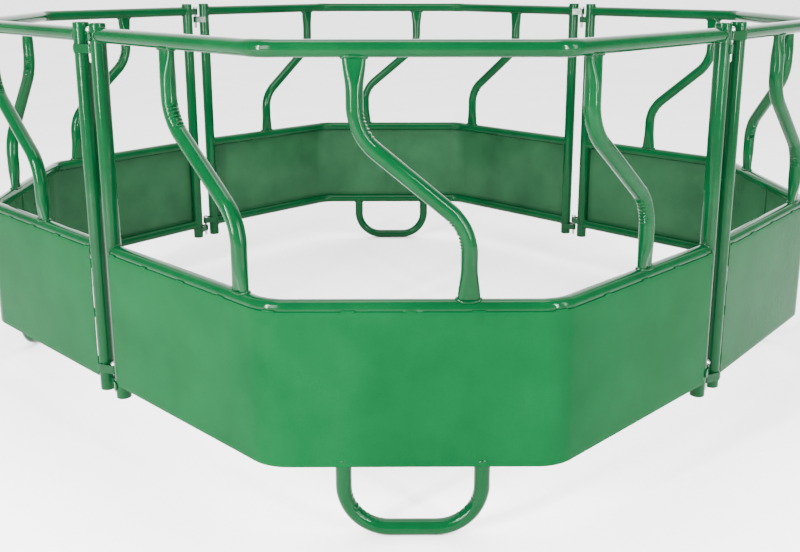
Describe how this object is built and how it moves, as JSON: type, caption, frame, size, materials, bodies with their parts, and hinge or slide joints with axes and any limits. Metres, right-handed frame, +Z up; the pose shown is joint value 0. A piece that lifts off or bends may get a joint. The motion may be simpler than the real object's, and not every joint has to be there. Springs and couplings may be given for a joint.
{
  "type": "round bale feeder",
  "caption": "Round bale feeder: bent-tube panels with a sheet skirt, S-bent feed bars and leg loops, pinned at the corners into a ring that swings out of square and comes apart.",
  "frame": {"origin": "centre of the ring, on the ground under the leg loops", "axes": "+Z up; the front panel faces -Y, the right panel faces +X; left and right on a panel are as seen from outside the ring"},
  "size_m": [2.467, 2.4402, 1.074],
  "materials": {
    "tube_enamel": "glossy green enamel over welded steel tube",
    "skirt_enamel": "glossy green enamel on sheet steel, slightly uneven",
    "strap_enamel": "green enamel over bent steel strap",
    "pin_zinc": "dull zinc plating"
  },
  "bodies": {
    "front_panel": {"front_top_rail": "tube_enamel", "front_middle_rail": "tube_enamel", "front_bottom_rail": "tube_enamel", "front_skirt": "skirt_enamel", "front_skirt_stiffener": "skirt_enamel", "front_left_post": "tube_enamel", "front_right_post": "tube_enamel", "front_left_bar": "tube_enamel", "front_centre_bar": "tube_enamel", "front_right_bar": "tube_enamel", "front_leg_loop": "tube_enamel", "front_hinge_straps": "strap_enamel"},
    "right_panel": {"right_top_rail": "tube_enamel", "right_middle_rail": "tube_enamel", "right_bottom_rail": "tube_enamel", "right_skirt": "skirt_enamel", "right_skirt_stiffener": "skirt_enamel", "right_left_post": "tube_enamel", "right_right_post": "tube_enamel", "right_left_bar": "tube_enamel", "right_centre_bar": "tube_enamel", "right_right_bar": "tube_enamel", "right_leg_loop": "tube_enamel", "right_hinge_straps": "strap_enamel"},
    "back_panel": {"back_top_rail": "tube_enamel", "back_middle_rail": "tube_enamel", "back_bottom_rail": "tube_enamel", "back_skirt": "skirt_enamel", "back_skirt_stiffener": "skirt_enamel", "back_left_post": "tube_enamel", "back_right_post": "tube_enamel", "back_left_bar": "tube_enamel", "back_centre_bar": "tube_enamel", "back_right_bar": "tube_enamel", "back_leg_loop": "tube_enamel", "back_hinge_straps": "strap_enamel"},
    "left_panel": {"left_top_rail": "tube_enamel", "left_middle_rail": "tube_enamel", "left_bottom_rail": "tube_enamel", "left_skirt": "skirt_enamel", "left_skirt_stiffener": "skirt_enamel", "left_left_post": "tube_enamel", "left_right_post": "tube_enamel", "left_left_bar": "tube_enamel", "left_centre_bar": "tube_enamel", "left_right_bar": "tube_enamel", "left_leg_loop": "tube_enamel", "left_hinge_straps": "strap_enamel"},
    "front_right_top_pin": {"front_right_top_pin": "pin_zinc"},
    "front_right_foot_pin": {"front_right_foot_pin": "pin_zinc"},
    "back_right_top_pin": {"back_right_top_pin": "pin_zinc"},
    "back_right_foot_pin": {"back_right_foot_pin": "pin_zinc"},
    "back_left_top_pin": {"back_left_top_pin": "pin_zinc"},
    "back_left_foot_pin": {"back_left_foot_pin": "pin_zinc"},
    "front_left_top_pin": {"front_left_top_pin": "pin_zinc"},
    "front_left_foot_pin": {"front_left_foot_pin": "pin_zinc"}
  },
  "joints": [
    {"name": "right_panel_swing", "type": "hinge", "parent": "front_panel", "child": "right_panel", "pos_m": [0.7998, -0.76164, 0.6], "axis": [0, 0, 1], "range_deg": [-82.8, 77.2]},
    {"name": "left_panel_swing", "type": "hinge", "parent": "front_panel", "child": "left_panel", "pos_m": [-0.7253, -0.76164, 0.6], "axis": [0, 0, 1], "range_deg": [-82.8, 77.2]},
    {"name": "back_panel_swing", "type": "hinge", "parent": "right_panel", "child": "back_panel", "pos_m": [0.7253, 0.76164, 0.6], "axis": [0, 0, 1], "range_deg": [-77.2, 82.8]},
    {"name": "front_right_top_pin_lift", "type": "slide", "parent": "right_panel", "child": "front_right_top_pin", "axis": [0, 0, 1], "range_m": [0, 0.08]},
    {"name": "front_right_foot_pin_lift", "type": "slide", "parent": "front_panel", "child": "front_right_foot_pin", "axis": [0, 0, 1], "range_m": [0, 0.08]},
    {"name": "back_right_top_pin_lift", "type": "slide", "parent": "back_panel", "child": "back_right_top_pin", "axis": [0, 0, 1], "range_m": [0, 0.08]},
    {"name": "back_right_foot_pin_lift", "type": "slide", "parent": "right_panel", "child": "back_right_foot_pin", "axis": [0, 0, 1], "range_m": [0, 0.08]},
    {"name": "back_left_top_pin_lift", "type": "slide", "parent": "left_panel", "child": "back_left_top_pin", "axis": [0, 0, 1], "range_m": [0, 0.08]},
    {"name": "back_left_foot_pin_lift", "type": "slide", "parent": "back_panel", "child": "back_left_foot_pin", "axis": [0, 0, 1], "range_m": [0, 0.08]},
    {"name": "front_left_top_pin_lift", "type": "slide", "parent": "front_panel", "child": "front_left_top_pin", "axis": [0, 0, 1], "range_m": [0, 0.08]},
    {"name": "front_left_foot_pin_lift", "type": "slide", "parent": "left_panel", "child": "front_left_foot_pin", "axis": [0, 0, 1], "range_m": [0, 0.08]}
  ],
  "couplings": [
    {"joint": "left_panel_swing", "follows": "right_panel_swing", "ratio": 1},
    {"joint": "back_panel_swing", "follows": "right_panel_swing", "ratio": -1}
  ]
}
